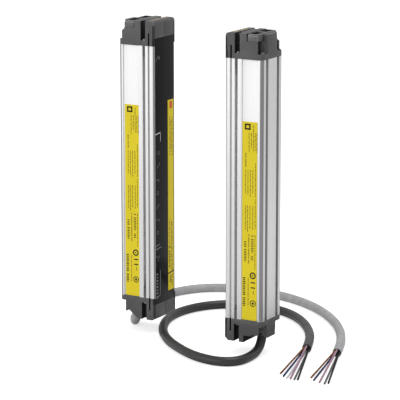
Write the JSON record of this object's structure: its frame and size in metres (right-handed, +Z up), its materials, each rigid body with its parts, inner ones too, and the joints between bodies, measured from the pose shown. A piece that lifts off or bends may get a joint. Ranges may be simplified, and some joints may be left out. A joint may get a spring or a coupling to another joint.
{
  "type": "safety light curtain",
  "caption": "Safety light curtain pair: slim emitter and receiver bars with dark optical windows facing each other, end caps, yellow labels and free cables with coloured wires.",
  "frame": {"origin": "middle of the emitter's flat back face, half way up the bar", "axes": "+X out of the emitter's window towards the receiver, +Z up along the bars, +Y to the far side"},
  "size_m": [0.2236, 0.2028, 0.2355],
  "materials": {
    "aluminium": "satin anodised, brushed along its length",
    "cap_plastic": "moulded, fine matt grain",
    "dark_window": "glossy, nearly opaque",
    "seal_rubber": "matt",
    "carrier_plastic": "matt black",
    "clear_plastic": "clear moulded",
    "diode_plastic": "dark tinted",
    "board_laminate": "green solder mask",
    "chip_plastic": "matt black",
    "screw_steel": "zinc plated",
    "yellow_label": "printed film, half gloss",
    "foil_sticker": "bright foil",
    "grey_jacket": "satin cable jacket",
    "black_jacket": "satin cable jacket",
    "wire_brown": "wire insulation",
    "wire_blue": "wire insulation",
    "wire_pink": "wire insulation",
    "wire_grey": "wire insulation",
    "wire_black": "wire insulation",
    "wire_white": "wire insulation"
  },
  "bodies": {
    "root": {"emitter_board_chips": "chip_plastic", "emitter_bottom_cap": "cap_plastic", "emitter_bottom_cap_screws": "screw_steel", "emitter_bottom_gasket": "seal_rubber", "emitter_cable": "grey_jacket", "emitter_cable_grommet": "seal_rubber", "emitter_circuit_board": "board_laminate", "emitter_diodes": "diode_plastic", "emitter_front_label": "yellow_label", "emitter_front_window": "dark_window", "emitter_lens_strip": "clear_plastic", "emitter_light_guides": "clear_plastic", "emitter_optics_carrier": "carrier_plastic", "emitter_profile": "aluminium", "emitter_side_label": "yellow_label", "emitter_top_cap": "cap_plastic", "emitter_top_cap_insert": "cap_plastic", "emitter_top_cap_screws": "screw_steel", "emitter_top_gasket": "seal_rubber", "emitter_top_sticker": "foil_sticker", "emitter_window_seal": "seal_rubber", "emitter_wire_black": "wire_black", "emitter_wire_blue": "wire_blue", "emitter_wire_brown": "wire_brown", "emitter_wire_grey": "wire_grey", "emitter_wire_pink": "wire_pink", "receiver_board_chips": "chip_plastic", "receiver_bottom_cap": "cap_plastic", "receiver_bottom_cap_screws": "screw_steel", "receiver_bottom_gasket": "seal_rubber", "receiver_cable": "black_jacket", "receiver_cable_grommet": "seal_rubber", "receiver_circuit_board": "board_laminate", "receiver_diodes": "diode_plastic", "receiver_front_window": "dark_window", "receiver_lens_strip": "clear_plastic", "receiver_light_guides": "clear_plastic", "receiver_optics_carrier": "carrier_plastic", "receiver_profile": "aluminium", "receiver_side_label": "yellow_label", "receiver_top_cap": "cap_plastic", "receiver_top_cap_insert": "cap_plastic", "receiver_top_cap_screws": "screw_steel", "receiver_top_gasket": "seal_rubber", "receiver_top_sticker": "foil_sticker", "receiver_window_seal": "seal_rubber", "receiver_wire_black": "wire_black", "receiver_wire_blue": "wire_blue", "receiver_wire_brown": "wire_brown", "receiver_wire_grey": "wire_grey", "receiver_wire_pink": "wire_pink", "receiver_wire_white": "wire_white"}
  },
  "joints": []
}
